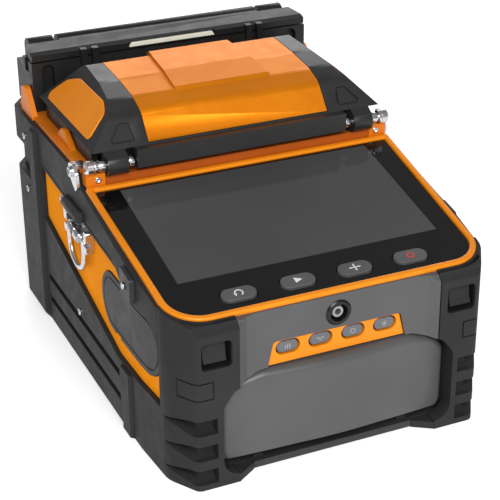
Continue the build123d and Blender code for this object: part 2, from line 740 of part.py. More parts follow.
def make_fibre_holders():
    """Grooved holders that grip the coated fibre on both sides."""
    base = block((27.0, 50.0), (113.0, 137.0), (stage_top, 99.0))
    groove = block((26, 51), (fibre_back - 0.6, fibre_back + 0.6), (98.2, 99.1))
    ear = block((32.0, 45.0), (137.0, 141.5), (stage_top, 101.6))
    slot = block((34.0, 43.0), (137.0, 142.0), (97.0, 103.0))
    pin = rod_x((32.0, 45.0), 139.4, 99.6, 1.0)
    return both_sides(base - groove + ear - slot + pin)


def make_holder_lid():
    """Right-hand clamp lid on the fibre holder's rear hinge."""
    lid = block((28.0, 49.0), (114.0, 135.6), (99.3, 101.8))
    lid = chamfer(lid.edges().filter_by(Axis.X).sort_by(Axis.Y)[0], 1.0)
    tongue = block((34.4, 42.6), (135.6, 139.4), (99.3, 101.8))
    eye = rod_x((34.4, 42.6), 139.4, 99.6, 2.2)
    magnet = Pos(38.5, y_at(119), 101.8) * Cylinder(2.6, 1.2)
    return lid + tongue + eye + magnet - rod_x((30, 46), 139.4, 99.6, 1.06)


def make_wind_seals():
    """Black side walls of the chamber, notched where the fibre enters."""
    seal = side_prism(outline([
        (98.6, 93.0), (158.0, 93.0), (158.0, 100.9), (130.5, 100.9), (fibre_back + 1, 97.6),
        (fibre_back - 1, 97.6), (119.5, 100.9), (98.6, 100.9),
    ]), (-61.4, -58.8))
    return both_sides(seal)


# ---------------------------------------------------------------- heater
def make_heater_base():
    """Housing of the sleeve heater with its trough and end notches."""
    base = block((-heater_half, heater_half), (heater_front, heater_rear), (heater_low, heater_top))
    shelf = block((-70, 70), (lid_axis_back - 5.2, depth + 2), (110.8, 120))
    base = base - shelf
    trough = block((-32.3, 32.3), (channel_back - 4.6, channel_back + 4.6), (101.0, 120))
    base = base - trough
    notch = block((-70, 70), (channel_back - 2.6, channel_back + 2.6), (109.5, 120))
    base = base - notch
    arch = front_prism(outline([(54.6, 97.0), (60.2, 97.0), (60.2, 113.6), (54.6, 113.6)], [0.6, 0.6, 2.7, 2.7]),
                       (163, 168.2))
    base = base - arch - mirrored(arch)
    return base


def make_heater_plate():
    """Heated trough that shrinks the sleeve."""
    mid = channel_back
    plate = block((-32, 32), (mid - 4.3, mid + 4.3), (101.0, 112.0))
    channel = side_prism(outline([(mid - 2.6, 113), (mid + 2.6, 113), (mid + 2.6, 107), (mid, 103.6), (mid - 2.6, 107)]),
                         (-40, 40))
    return plate - channel


def make_heater_lid():
    """Hinged heater lid with its long barrel and front clips."""
    lid_low = heater_top + 0.6
    plate = side_prism(outline([
        (heater_front + 0.2, lid_low), (lid_axis_back - 5.0, lid_low), (lid_axis_back - 5.0, 119.3),
        (heater_front + 3.0, 118.9), (heater_front + 0.2, 118.0),
    ]), (-64.2, 64.2))
    web = side_prism(outline([
        (lid_axis_back - 5.4, lid_low + 0.6), (lid_axis_back, lid_low + 0.6), (lid_axis_back, 119.3),
        (lid_axis_back - 5.4, 119.3),
    ]), (-lid_barrel_half, lid_barrel_half))
    barrel = rod_x((-lid_barrel_half, lid_barrel_half), lid_axis_back, lid_axis_height, lid_barrel_radius)
    lid = plate + web + barrel
    ends = outline([(-64.2, 160), (64.2, 160), (64.2, 168), (61.4, 192), (-61.4, 192), (-64.2, 168)])
    lid = lid & plan_prism(ends, (105, 125))
    lid = lid - rod_x((-70, 70), lid_axis_back, lid_axis_height, 1.56)
    strip = block((-20.4, 20.4), (160, heater_front + 1.4), (lid_low + 0.5, 118.2))
    lid = lid - strip
    for centre in (36.2, 41.4):
        fin = block((centre - 1.4, centre + 1.4), (163.0, heater_front + 1.0), (lid_low + 0.2, 118.8))
        fin = fin + block((centre - 1.4, centre + 1.4), (163.0, 164.6), (110.6, lid_low + 1.0))
        lid = lid + fin + mirrored(fin)
    return lid


def make_light_strip():
    """Pale diffuser of the heater's status lamp."""
    low = heater_top + 1.2
    strip = front_prism(outline([(-20.2, low), (20.2, low), (19.0, 117.9), (-19.0, 117.9)]),
                        (heater_front - 0.1, heater_front + 1.3))
    return strip


# ---------------------------------------------------------------- side fittings
def make_port_cover():
    """Rubber flap over the sockets; its lower edge is the hinge."""
    flap = side_prism(Pos(cover_centre, cover_height) * pill((cover_length, cover_width)), (-66.7, -63.2))
    taper = plan_prism(case_face(1.2), (20, 80))
    flap = flap & taper
    groove = side_prism(Pos(cover_centre, cover_height) * pill((cover_length - 4, cover_width - 4)), (-70, -50))
    groove = groove - side_prism(Pos(cover_centre, cover_height) * pill((cover_length - 5.4, cover_width - 5.4)), (-71, -49))
    groove = groove & (plan_prism(case_face(0), (20, 80)) - plan_prism(case_face(1.8), (10, 90)))
    flap = flap - groove
    finger_notch = block((-70, -65.2), (58.0, 63.0), (30.0, cover_height - cover_width / 2 + 1.4))
    flap = flap - finger_notch
    return flap


def make_air_vent():
    """Louvred insert that fills the right-hand side window."""
    oval = Pos(cover_centre, cover_height) * pill((cover_length, cover_width))
    vent = side_prism(oval, (-66.7, -62.4)) & plan_prism(case_face(1.4), (20, 80))
    vent = vent - side_prism(Pos(cover_centre, cover_height) * pill((cover_length - 6, cover_width - 6)), (-75, -64.4))
    for row in range(-2, 3):
        slot = Pos(cover_centre, cover_height + 3.6 * row) * pill((cover_length - 18, 1.8))
        vent = vent - side_prism(slot, (-75, -60))
    return mirrored(vent)


def make_socket_block():
    """Block behind the flap with the power, USB and memory card sockets."""
    body = block((-62.8, -51.2), (24.0, 70.0), (40.0, 59.0))
    power = Pos(-60, y_at(31.5), cover_height) * Cylinder(3.2, 14, rotation=(0, 90, 0))
    usb = block((-66, -54), (40.0, 53.0), (cover_height - 2.6, cover_height + 2.6))
    card = block((-66, -54), (58.0, 67.0), (cover_height - 1.3, cover_height + 1.3))
    pin = rod_x((-60.5, -52), 31.5, cover_height, 0.9)
    body = body - power - usb - card
    body = body & (plan_prism(case_face(4.2), (30, 70)))
    return body + pin


def make_ring_brackets():
    """Chrome brackets that hold the strap rings."""
    plate = side_prism(outline([(86.0, 62.8), (113.6, 62.8), (113.6, 71.2), (86.0, 71.2)], 1.5), (-67.3, -66.15))
    x = -ring_bar_half_width
    for back in (96.0, 103.2):
        sleeve = rod_y(x, (back - 2.4, back + 2.4), ring_bar_height, 2.3)
        web = block((x, -66.8), (back - 2.4, back + 2.4), (ring_bar_height, ring_bar_height + 2.3))
        plate = plate + sleeve + web
    for low, high in ((85.8, 89.0), (110.2, 113.8)):
        ear = side_prism(outline([(low, 61.0), (high, 61.0), (high, 70.6), (low, 70.6)], 1.2), (-69.8, -66.15))
        plate = plate + ear
    end_cap = rod_y(-69.0, (113.0, 115.2), 73.9, 1.7) - plan_prism(case_face(), (70, 80))
    plate = plate + end_cap
    plate = plate + block((-69.8, -68.05), (112.7, 113.8), (69.5, 73.9))
    plate = plate - rod_y(x, (85, 118), ring_bar_height, ring_wire + 0.08)
    return both_sides(plate)


def make_strap_ring(side):
    """D-shaped wire ring that hangs from its bracket: a straight bar, two legs and a round bow."""
    x = -ring_bar_half_width
    half = ring_half_width
    leg = 6.0
    bow_centre = Pos(x, y_at(ring_bar_back), ring_bar_height - leg)
    ring = rod_y(x, (ring_bar_back - half, ring_bar_back + half), ring_bar_height, ring_wire)
    for end in (-half, half):
        ring = ring + Pos(x, y_at(ring_bar_back + end), ring_bar_height) * Sphere(ring_wire)
        ring = ring + Pos(x, y_at(ring_bar_back + end), ring_bar_height - leg / 2) * Cylinder(ring_wire, leg)
    bow = bow_centre * (Rot(0, 90, 0) * Torus(half, ring_wire))
    below = block((x - 3, x + 3), (ring_bar_back - 20, ring_bar_back + 20), (20, ring_bar_height - leg))
    ring = ring + (bow & below)
    return ring if side < 0 else mirrored(ring)


def make_side_lugs():
    """Small lugs on the rails beside the screen."""
    lug = side_prism(outline([(36.5, 63.2), (47.0, 63.2), (47.0, 75.2), (36.5, 73.2)], 1.2), (-69.6, -66.0))
    lug = lug - plan_prism(case_face(), (50, 90))
    lug = lug - screen_pocket()
    pin = rod_x((-70.1, -69.1), 42.5, 68.6, 1.5)
    roller = rod_y(-69.0, (94.0, 112.4), 73.9, 2.3) - plan_prism(case_face(), (50, 90))
    return both_sides(lug + pin + roller)


def screw_head(x, back, z, radius=1.9, height=1.2):
    """Domed case screw on the left side."""
    head = rod_x((x - height, x), back, z, radius)
    return chamfer(head.faces().sort_by(Axis.X)[0].edges(), 0.4)


def make_case_screws():
    """All the visible case screws."""
    heads = [
        screw_head(-69.4, 100.8, 91.6, 2.2),
        screw_head(-half_width, 105.0, 26.0, 1.5, 0.9),
        screw_head(-69.0, 168.0, 57.0, 1.5, 0.9),
        screw_head(-69.0, 168.0, 82.0, 1.5, 0.9),
    ]
    hinge_screw = rod_y(-61.7, (hinge_back - 0.9, hinge_back - 0.2), 90.4, 1.3)
    heads.append(hinge_screw)
    solids = []
    for head in heads:
        solids.extend(head.solids())
        solids.extend(mirrored(head).solids())
    return Compound(children=solids)


def make_main_board():
    """Main circuit board above the battery, with its largest components."""
    board = block((-54, 54), (88, 164), (46.0, 47.6))
    chips = [block((-30, -12), (100, 118), (47.6, 50.0)), block((6, 34), (104, 124), (47.6, 53.0)),
             block((-40, -18), (132, 156), (47.6, 62.0)), block((10, 44), (136, 158), (47.6, 57.0))]
    for chip in chips:
        board = board + chip
    return board


# ---------------------------------------------------------------- export
def sided(name, left):
    """A left-hand piece and its mirror image as two named pieces."""
    return {name + "_left": left, name + "_right": mirrored(left)}


def all_parts():
    """Every sub-part by node name."""
    holder_lid = make_holder_lid()
    parts = {}
    parts.update(sided("front_guard", make_front_guard()))
    parts.update(sided("side_skirt", make_side_skirt()))
    parts.update(sided("side_panel", make_side_panel()))
    parts.update(sided("side_rail", make_side_rail()))
    parts.update(sided("rear_guard", make_rear_guard()))
    parts.update(sided("chassis_side", make_chassis_side()))
    parts.update(sided("holder_lid", mirrored(holder_lid)))
    parts["base_tray"] = make_base_tray()
    parts["rear_panel"] = make_rear_panel()
    parts["chassis_wall"] = make_chassis_wall()
    parts["front_panel"] = make_front_panel()
    parts["keypad_strip"] = make_keypad_strip()
    parts["optical_port"] = make_optical_port()
    parts["battery_pack"] = make_battery_pack()
    parts["screen_bezel"] = make_screen_bezel()
    parts["screen_glass"] = make_screen_glass()
    parts["lcd_module"] = make_lcd_module()
    parts["screen_tray"] = make_screen_tray()
    for name, centre in zip(("return", "run", "axis", "power"), menu_key_centres):
        parts["menu_key_" + name] = make_menu_key(centre)
    for name, centre in zip(("unit", "wave", "zero", "light"), keypad_key_centres):
        parts["meter_key_" + name] = make_keypad_key(centre)
    parts["wind_cover_frame"] = make_wind_cover_frame()
    parts["wind_cover_panel"] = make_wind_cover_panel()
    parts["wind_cover_inlays"] = make_end_inlays()
    parts["cover_mirror"] = make_cover_mirror()
    parts["hinge_pins"] = make_hinge_pins()
    parts["hinge_brackets"] = make_hinge_brackets()
    parts["lid_hinge_blocks"] = make_lid_hinge_blocks()
    parts["stage_plate"] = make_stage_plate()
    parts["vgroove_block"] = make_vgroove_block()
    parts["electrodes"] = make_electrodes()
    parts["electrode_clamps"] = make_electrode_clamps()
    parts["objectives"] = make_objectives()
    parts["fibre_holders"] = make_fibre_holders()
    parts["wind_seals"] = make_wind_seals()
    parts["heater_base"] = make_heater_base()
    parts["heater_plate"] = make_heater_plate()
    parts["heater_lid"] = make_heater_lid()
    parts["light_strip"] = make_light_strip()
    parts["port_cover"] = make_port_cover()
    parts["air_vent"] = make_air_vent()
    parts["socket_block"] = make_socket_block()
    parts["ring_brackets"] = make_ring_brackets()
    parts["strap_ring_left"] = make_strap_ring(-1)
    parts["strap_ring_right"] = make_strap_ring(1)
    parts["side_lugs"] = make_side_lugs()
    parts["case_screws"] = make_case_screws()
    parts["main_board"] = make_main_board()
    return parts


os.makedirs("parts", exist_ok=True)
for node, shape in all_parts().items():
    export_step(shape, f"parts/{node}.step")
    print(f"{node:24s} {len(shape.solids())} solid(s) {shape.volume:12.1f} mm3")
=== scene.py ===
"""Looks for the fibre fusion splicer: materials, small details, floor, light and camera.

Everything is in metres in the CAD model's frame: origin at the centre of the base, +Z up,
front facing -Y. The CAD nodes stay where they are; the pieces made here ride on their bodies.
"""

import json
import math

import bmesh
import bpy
from mathutils import Matrix, Vector


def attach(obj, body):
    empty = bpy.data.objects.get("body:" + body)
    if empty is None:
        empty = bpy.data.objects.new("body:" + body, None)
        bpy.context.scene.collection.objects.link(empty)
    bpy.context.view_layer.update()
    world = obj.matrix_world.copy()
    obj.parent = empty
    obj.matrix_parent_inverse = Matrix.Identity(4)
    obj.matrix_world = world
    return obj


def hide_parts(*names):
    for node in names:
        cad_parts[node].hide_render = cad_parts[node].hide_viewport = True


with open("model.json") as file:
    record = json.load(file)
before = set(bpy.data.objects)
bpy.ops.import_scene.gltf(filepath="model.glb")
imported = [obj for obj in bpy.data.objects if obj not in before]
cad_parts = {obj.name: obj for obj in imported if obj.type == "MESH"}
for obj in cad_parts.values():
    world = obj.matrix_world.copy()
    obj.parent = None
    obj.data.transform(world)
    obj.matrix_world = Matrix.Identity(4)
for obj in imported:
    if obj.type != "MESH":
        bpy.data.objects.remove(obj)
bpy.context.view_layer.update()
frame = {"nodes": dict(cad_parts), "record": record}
nodes = frame["nodes"]

# ---------------------------------------------------------------- driving dimensions
MM = 0.001
FRONT = -97.0                # y of the front face, mm
SCREEN_RISE = 0.214          # slope of the screen deck
SCREEN_HEIGHT = 69.0         # z of the bezel's top plane above the front face
MENU_KEYS = {"return": -35.6, "run": -11.8, "axis": 11.8, "power": 35.6}
MENU_ROW = 14.4              # along the slope from the front face
METER_KEYS = {"unit": -20.2, "wave": -6.8, "zero": 6.8, "light": 20.2}
METER_HEIGHT = 50.4
METER_FACE = 5.2             # how far back the meter keys' faces lie
PORT_HEIGHT = 60.4           # z of the optical port's axis
GLASS_DROP = 1.2             # glass face below the bezel's top plane
KEY_PROUD = 1.0              # menu keys above the glass
WINDOW_HALF = 54.3           # half the width of the clear window in the glass
WINDOW_BACK = (26.6, 86.4)   # its near and far edges, back from the front face
STAGE_TOP = 84.0             # z of the machined plate in the splice chamber
FIBRE_BACK = 125.0           # the fibre axis, back from the front face
MIRROR_TILT = 35.0           # slope of the wind cover's mirror strips, degrees
TRAY_BOTTOM = 0.62           # z of the tray's underside, which stands on the feet
REAR_FACE = 192.9            # the rear panel's recessed face, back from the front face
BEVEL = 0.28                 # rounding of moulded edges, mm
BEVEL_ANGLE = 38.0           # edges sharper than this are rounded, degrees
SHALLOW_BEVEL_ANGLE = 20.0   # the same for the wind cover's gently folded panel
WELD_GAP = 0.002             # vertices closer than this are one vertex, mm
INK = 0.06                   # printed marks stand this far off their surface


# ---------------------------------------------------------------- material helpers
class Surface:
    """A material being built: it starts with object coordinates and one shader."""

    def __init__(self, name, roughness=0.5, metallic=0.0, specular=0.5):
        self.material = bpy.data.materials.new(name)
        self.material.use_nodes = True
        tree = self.material.node_tree
        tree.nodes.clear()
        self.tree = tree
        self.shader = self.add("ShaderNodeBsdfPrincipled")
        self.shader.inputs["Roughness"].default_value = roughness
        self.shader.inputs["Metallic"].default_value = metallic
        self.shader.inputs["Specular IOR Level"].default_value = specular
        output = self.add("ShaderNodeOutputMaterial")
        tree.links.new(self.shader.outputs["BSDF"], output.inputs["Surface"])
        self.coordinates = self.add("ShaderNodeTexCoord").outputs["Object"]

    def add(self, kind, **settings):
        """A new node with its settings."""
        node = self.tree.nodes.new(kind)
        for key, value in settings.items():
            setattr(node, key, value)
        return node

    def link(self, source, target):
        """Join an output to an input."""
        self.tree.links.new(source, target)

    def noise(self, size_mm, detail=4.0, stretch=(1, 1, 1)):
        """Noise whose features are about size_mm across."""
        mapping = self.add("ShaderNodeMapping")
        mapping.inputs["Scale"].default_value = stretch
        self.link(self.coordinates, mapping.inputs["Vector"])
        noise = self.add("ShaderNodeTexNoise")
        noise.inputs["Scale"].default_value = 1.0 / (size_mm * MM)
        noise.inputs["Detail"].default_value = detail
        noise.inputs["Roughness"].default_value = 0.55
        self.link(mapping.outputs["Vector"], noise.inputs["Vector"])
        return noise.outputs["Fac"]

    def cells(self, size_mm):
        """Small cells, for leather-like grain."""
        cells = self.add("ShaderNodeTexVoronoi", feature="F1")
        cells.inputs["Scale"].default_value = 1.0 / (size_mm * MM)
        self.link(self.coordinates, cells.inputs["Vector"])
        return cells.outputs["Distance"]

    def span(self, value, low, high, out_low, out_high):
        """Map a value from one span to another, held inside it."""
        node = self.add("ShaderNodeMapRange")
        node.inputs["From Min"].default_value = low
        node.inputs["From Max"].default_value = high
        node.inputs["To Min"].default_value = out_low
        node.inputs["To Max"].default_value = out_high
        self.link(value, node.inputs["Value"])
        return node.outputs["Result"]

    def mix(self, amount, first, second):
        """Blend two colours or colour outputs."""
        node = self.add("ShaderNodeMix", data_type="RGBA")
        self.link(amount, node.inputs[0])
        for value, socket in ((first, node.inputs[6]), (second, node.inputs[7])):
            if isinstance(value, bpy.types.NodeSocket):
                self.link(value, socket)
            else:
                socket.default_value = (*value, 1.0)
        return node.outputs[2]

    def colour(self, value):
        """Set the base colour from an output."""
        self.link(value, self.shader.inputs["Base Color"])

    def roughness(self, value):
        """Set the roughness from an output."""
        self.link(value, self.shader.inputs["Roughness"])

    def bump(self, height, depth_mm, strength=1.0):
        """Add relief; several calls stack up."""
        node = self.add("ShaderNodeBump")
        node.inputs["Strength"].default_value = strength
        node.inputs["Distance"].default_value = depth_mm * MM
        self.link(height, node.inputs["Height"])
        target = self.shader.inputs["Normal"]
        if target.is_linked:
            self.link(target.links[0].from_socket, node.inputs["Normal"])
        self.link(node.outputs["Normal"], target)


def moulded(name, base, shade, rough=(0.4, 0.55), grain_mm=0.35, grain_depth=0.012, specular=0.5):
    """Moulded plastic or rubber: cloudy colour and spark-eroded grain."""
    surface = Surface(name, specular=specular)
    cloud = surface.noise(26.0, 3.0)
    colour = surface.mix(surface.span(cloud, 0.35, 0.65, 0.0, 1.0), base, shade)
    speckle = surface.noise(0.5, 2.0)
    darker = [channel * 0.82 for channel in base]
    colour = surface.mix(surface.span(speckle, 0.52, 0.75, 0.0, 0.45), colour, darker)
    surface.colour(colour)
    surface.roughness(surface.span(surface.noise(7.0, 5.0), 0.3, 0.7, *rough))
    surface.bump(surface.cells(grain_mm), grain_depth, 0.6)
    surface.bump(surface.noise(grain_mm * 0.5, 2.0), grain_depth * 0.6, 0.5)
    return surface


def armour_material():
    """Dark rubberised armour with a fine leathery grain."""
    base = (0.027, 0.027, 0.028)
    shade = (0.022, 0.022, 0.023)
    return moulded("armour", base, shade, (0.46, 0.58), 0.55, 0.02, 0.1).material


def orange_material(name, base, shade, rough, specular=0.3, metallic=0.1):
    """Satin orange lacquer with a faint orange-peel skin and a trace of metal flake."""
    surface = Surface(name, metallic=metallic, specular=specular)
    cloud = surface.noise(30.0, 3.0)
    colour = surface.mix(surface.span(cloud, 0.35, 0.65, 0.0, 1.0), base, shade)
    speck = surface.noise(0.9, 2.0)
    pale = [min(1.0, channel * 1.1 + 0.01) for channel in base]
    colour = surface.mix(surface.span(speck, 0.6, 0.8, 0.0, 0.35), colour, pale)
    surface.colour(colour)
    surface.roughness(surface.span(surface.noise(5.0, 5.0), 0.3, 0.7, *rough))
    surface.bump(surface.noise(0.8, 2.0), 0.012, 0.5)
    return surface.material


def black_material(name, base, shade, rough=(0.42, 0.56)):
    """Fine matt black or dark grey moulding."""
    return moulded(name, base, shade, rough, 0.3, 0.012, 0.35).material


def cover_black_material():
    """Half-gloss black of the wind cover."""
    base = (0.024, 0.024, 0.024)
    shade = (0.019, 0.019, 0.019)
    return moulded("cover_black", base, shade, (0.30, 0.40), 0.4, 0.006, 0.3).material


def rubber_material(name, base, shade):
    """Soft matt rubber with a fine grain."""
    return moulded(name, base, shade, (0.55, 0.72), 0.25, 0.015, specular=0.35).material


def metal_material(name, base, rough, stretch=(1, 1, 1), lines_mm=0.12, depth=0.003):
    """Metal with fine tool marks along one direction."""
    surface = Surface(name, metallic=1.0)
    marks = surface.noise(lines_mm, 3.0, stretch)
    dull = [channel * 0.82 for channel in base]
    surface.colour(surface.mix(surface.span(marks, 0.4, 0.7, 0.0, 1.0), base, dull))
    surface.roughness(surface.span(surface.noise(4.0, 5.0), 0.3, 0.7, *rough))
    surface.bump(marks, depth, 0.5)
    return surface.material


def port_material():
    """Dark connector ring round a paler centre sleeve."""
    surface = Surface("connector_metal", metallic=0.8)
    split = surface.add("ShaderNodeSeparateXYZ")
    surface.link(surface.coordinates, split.inputs[0])
    offset = surface.add("ShaderNodeMath", operation="SUBTRACT")
    offset.inputs[1].default_value = PORT_HEIGHT * MM
    surface.link(split.outputs["Z"], offset.inputs[0])
    flat = surface.add("ShaderNodeCombineXYZ")
    surface.link(split.outputs["X"], flat.inputs["X"])
    surface.link(offset.outputs[0], flat.inputs["Z"])
    reach = surface.add("ShaderNodeVectorMath", operation="LENGTH")
    surface.link(flat.outputs[0], reach.inputs[0])
    sleeve = surface.span(reach.outputs["Value"], 2.5 * MM, 2.7 * MM, 1.0, 0.0)
    marks = surface.noise(0.3, 3.0)
    dark = surface.mix(marks, (0.035, 0.035, 0.036), (0.02, 0.02, 0.021))
    surface.colour(surface.mix(sleeve, dark, (0.34, 0.34, 0.35)))
    surface.roughness(surface.span(marks, 0.3, 0.7, 0.24, 0.36))
    surface.bump(marks, 0.003, 0.4)
    return surface.material


def ceramic_material():
    """Ground white ceramic."""
    surface = Surface("ceramic", roughness=0.3)
    grain = surface.noise(0.2, 3.0)
    patches = surface.span(grain, 0.4, 0.6, 0.0, 1.0)
    surface.colour(surface.mix(patches, (0.82, 0.80, 0.74), (0.74, 0.72, 0.66)))
    surface.bump(grain, 0.004, 0.4)
    return surface.material


def diffuser_material():
    """Pale translucent lamp cover."""
    surface = Surface("diffuser", roughness=0.4)
    cloud = surface.noise(6.0, 3.0)
    surface.colour(surface.mix(cloud, (0.78, 0.77, 0.66), (0.66, 0.65, 0.54)))
    surface.shader.inputs["Subsurface Weight"].default_value = 0.3
    surface.shader.inputs["Subsurface Scale"].default_value = 0.8 * MM
    surface.bump(surface.noise(0.4, 2.0), 0.01, 0.4)
    return surface.material


def board_material():
    """Circuit board: green mask with copper tracks under it."""
    surface = Surface("circuit_board", roughness=0.35)
    tracks = surface.add("ShaderNodeTexBrick", offset=0.5)
    tracks.inputs["Scale"].default_value = 220.0
    tracks.inputs["Mortar Size"].default_value = 0.012
    surface.link(surface.coordinates, tracks.inputs["Vector"])
    surface.colour(surface.mix(tracks.outputs["Fac"], (0.012, 0.09, 0.035), (0.03, 0.20, 0.07)))
    surface.bump(tracks.outputs["Fac"], 0.03, 0.5)
    return surface.material


def box_mask(surface, x_half, back):
    """1 inside a rectangle seen from above: |x| below x_half, and between two distances back."""
    split = surface.add("ShaderNodeSeparateXYZ")
    surface.link(surface.coordinates, split.inputs[0])
    size = surface.add("ShaderNodeMath", operation="ABSOLUTE")
    surface.link(split.outputs["X"], size.inputs[0])
    low = (FRONT + back[0]) * MM
    high = (FRONT + back[1]) * MM
    edge = 0.15 * MM
    sides = surface.span(size.outputs[0], x_half * MM - edge, x_half * MM + edge, 1.0, 0.0)
    near = surface.span(split.outputs["Y"], low - edge, low + edge, 0.0, 1.0)
    far = surface.span(split.outputs["Y"], high - edge, high + edge, 1.0, 0.0)
    first = surface.add("ShaderNodeMath", operation="MULTIPLY")
    surface.link(sides, first.inputs[0])
    surface.link(near, first.inputs[1])
    second = surface.add("ShaderNodeMath", operation="MULTIPLY")
    surface.link(first.outputs[0], second.inputs[0])
    surface.link(far, second.inputs[1])
    return second.outputs[0]


def glass_material():
    """Display window: black printed border round a smoky clear area, under polished glass."""
    surface = Surface("cover_glass", specular=0.4)
    window = box_mask(surface, WINDOW_HALF, WINDOW_BACK)
    dust = surface.span(surface.noise(12.0, 4.0), 0.3, 0.7, 0.0, 1.0)
    border = surface.mix(dust, (0.003, 0.003, 0.003), (0.005, 0.005, 0.005))
    haze = surface.span(surface.noise(70.0, 1.0), 0.3, 0.7, 0.0, 1.0)
    clear = surface.mix(haze, (0.052, 0.052, 0.053), (0.064, 0.064, 0.065))
    surface.colour(surface.mix(window, border, clear))
    surface.roughness(surface.span(surface.noise(18.0, 5.0), 0.35, 0.7, 0.05, 0.11))
    surface.bump(surface.noise(30.0, 1.0), 0.002, 0.3)
    return surface.material


def display_material():
    """Dark face of the liquid crystal panel."""
    surface = Surface("display", roughness=0.3)
    rows = surface.noise(0.3, 1.0)
    surface.colour(surface.mix(rows, (0.05, 0.055, 0.06), (0.07, 0.075, 0.08)))
    return surface.material


# One material for each slot of the CAD record. Plastics take a base colour and a darker shade,
# metals one colour; a pair of numbers is the span of the roughness.
MATERIALS = {
    "armour": armour_material(),
    "orange_panel": orange_material(
        "orange_panel", (0.82, 0.25, 0.004), (0.77, 0.225, 0.003), (0.34, 0.46)),
    "orange_metal": orange_material(
        "orange_metal", (0.68, 0.18, 0.004), (0.62, 0.155, 0.003), (0.36, 0.48)),
    "black_plastic": black_material("black_plastic", (0.030, 0.030, 0.032), (0.022, 0.022, 0.024)),
    "cover_black": cover_black_material(),
    "cover_glass": glass_material(),
    "display": display_material(),
    "menu_rubber": rubber_material("menu_rubber", (0.085, 0.085, 0.087), (0.072, 0.072, 0.074)),
    "meter_rubber": rubber_material("meter_rubber", (0.13, 0.13, 0.14), (0.11, 0.11, 0.12)),
    "flap_rubber": rubber_material("flap_rubber", (0.050, 0.050, 0.052), (0.042, 0.042, 0.044)),
    "chrome": metal_material("chrome", (0.66, 0.66, 0.68), (0.2, 0.28), lines_mm=2.0, depth=0.0004),
    "connector_metal": port_material(),
    "machined": metal_material("machined", (0.64, 0.65, 0.67), (0.28, 0.42), (1, 12, 12)),
    "black_anodised": metal_material("black_anodised", (0.05, 0.05, 0.055), (0.3, 0.45)),
    "ceramic": ceramic_material(),
    "tungsten": metal_material("tungsten", (0.38, 0.37, 0.36), (0.25, 0.35), (8, 1, 8)),
    "diffuser": diffuser_material(),
    "circuit_board": board_material(),
}
# Nodes whose colour differs a little from the rest of their slot; two oranges are painted light and
# shade.
FRONT_GREY = black_material(
    "front_grey", (0.078, 0.078, 0.079), (0.068, 0.068, 0.069), (0.34, 0.44))
DEEP_BLACK = black_material(
    "deep_black", (0.010, 0.010, 0.010), (0.007, 0.007, 0.007), (0.42, 0.54))
COVER_ORANGE = orange_material(
    "cover_orange", (0.78, 0.235, 0.006), (0.73, 0.21, 0.005), (0.38, 0.48), 0.12, 0.55)
LID_BLACK = black_material(
    "lid_black", (0.009, 0.009, 0.009), (0.007, 0.007, 0.007), (0.42, 0.52))
# Painted light: a lighter, more saturated copy of the panel orange for the side panels, which stand in
# shade.
PAINTED_LIGHT_SIDE_ORANGE = orange_material(
    "painted_light_side_orange", (0.93, 0.30, 0.003), (0.87, 0.27, 0.002), (0.6, 0.7), 0.03, 0.0)
# Painted shade: a much darker copy of the orange for the chassis wall, which gets little light.
PAINTED_SHADE_ORANGE = orange_material(
    "painted_shade_orange", (0.42, 0.085, 0.004), (0.36, 0.07, 0.003), (0.4, 0.5))
SHADES = {
    "wind_cover_panel": COVER_ORANGE,
    "side_panel_left": PAINTED_LIGHT_SIDE_ORANGE,
    "side_panel_right": PAINTED_LIGHT_SIDE_ORANGE,
    "battery_pack": FRONT_GREY,
    "front_panel": FRONT_GREY,
    "heater_base": DEEP_BLACK,
    "heater_lid": LID_BLACK,
    "lid_hinge_blocks": DEEP_BLACK,
    "wind_seals": DEEP_BLACK,
    "chassis_wall": PAINTED_SHADE_ORANGE,
}
# Nodes whose flat faces have rows of holes shade cleanly only without rounded edges.
UNROUNDED = ("screen_glass", "keypad_strip", "port_cover", "front_panel")
# Nodes with a wider rounding than the rest, mm.
SOFTER_EDGES = {
    "wind_cover_panel": 1.0,
    "wind_cover_frame": 0.45,
    "wind_cover_inlays": 0.5,
    "battery_pack": 0.4,
}


def paint_marks(name, colour):
    """Printing ink or a small moulded insert: slightly uneven and never quite flat."""
    surface = Surface(name, roughness=0.45)
    spots = surface.noise(0.25, 3.0)
    darker = [channel * 0.85 for channel in colour]
    surface.colour(surface.mix(surface.span(spots, 0.4, 0.7, 0.0, 1.0), colour, darker))
    surface.bump(spots, 0.004, 0.4)
    return surface.material


WHITE_INK = paint_marks("white_ink", (0.72, 0.72, 0.72))
RED_INK = paint_marks("red_ink", (0.62, 0.03, 0.02))
BLACK_INK = paint_marks("black_ink", (0.015, 0.015, 0.015))
GREY_INK = paint_marks("grey_ink", (0.30, 0.30, 0.31))


# ---------------------------------------------------------------- CAD nodes
def finish_cad_nodes():
    """Give every CAD node its material and, where it is moulded, rounded edges."""
    slots = {entry["node"]: entry["material_slot"] for entry in frame["record"]["subparts"]}
    for name, node in nodes.items():
        slot = slots[name]
        node.data.materials.clear()
        node.data.materials.append(SHADES.get(name, MATERIALS[slot]))
        if name in UNROUNDED:
            continue
        weld = node.modifiers.new("weld", "WELD")
        weld.merge_threshold = WELD_GAP * MM
        bevel = node.modifiers.new("bevel", "BEVEL")
        bevel.width = SOFTER_EDGES.get(name, BEVEL) * MM
        bevel.segments = 3
        bevel.limit_method = "ANGLE"
        shallow = name == "wind_cover_panel"
        bevel.angle_limit = math.radians(SHALLOW_BEVEL_ANGLE if shallow else BEVEL_ANGLE)
        bevel.harden_normals = True
        bevel.use_clamp_overlap = True


finish_cad_nodes()


# ---------------------------------------------------------------- mesh helpers
def at(x, back, z, outward=(0, 0, 1), up=(0, 1, 0)):
    """A place in the model, in mm: local Z points outward, local Y points up."""
    normal = Vector(outward).normalized()
    upward = Vector(up).normalized()
    right = upward.cross(normal).normalized()
    axes = Matrix((right, normal.cross(right), normal)).transposed()
    return Matrix.Translation((x, back + FRONT, z)) @ axes.to_4x4()


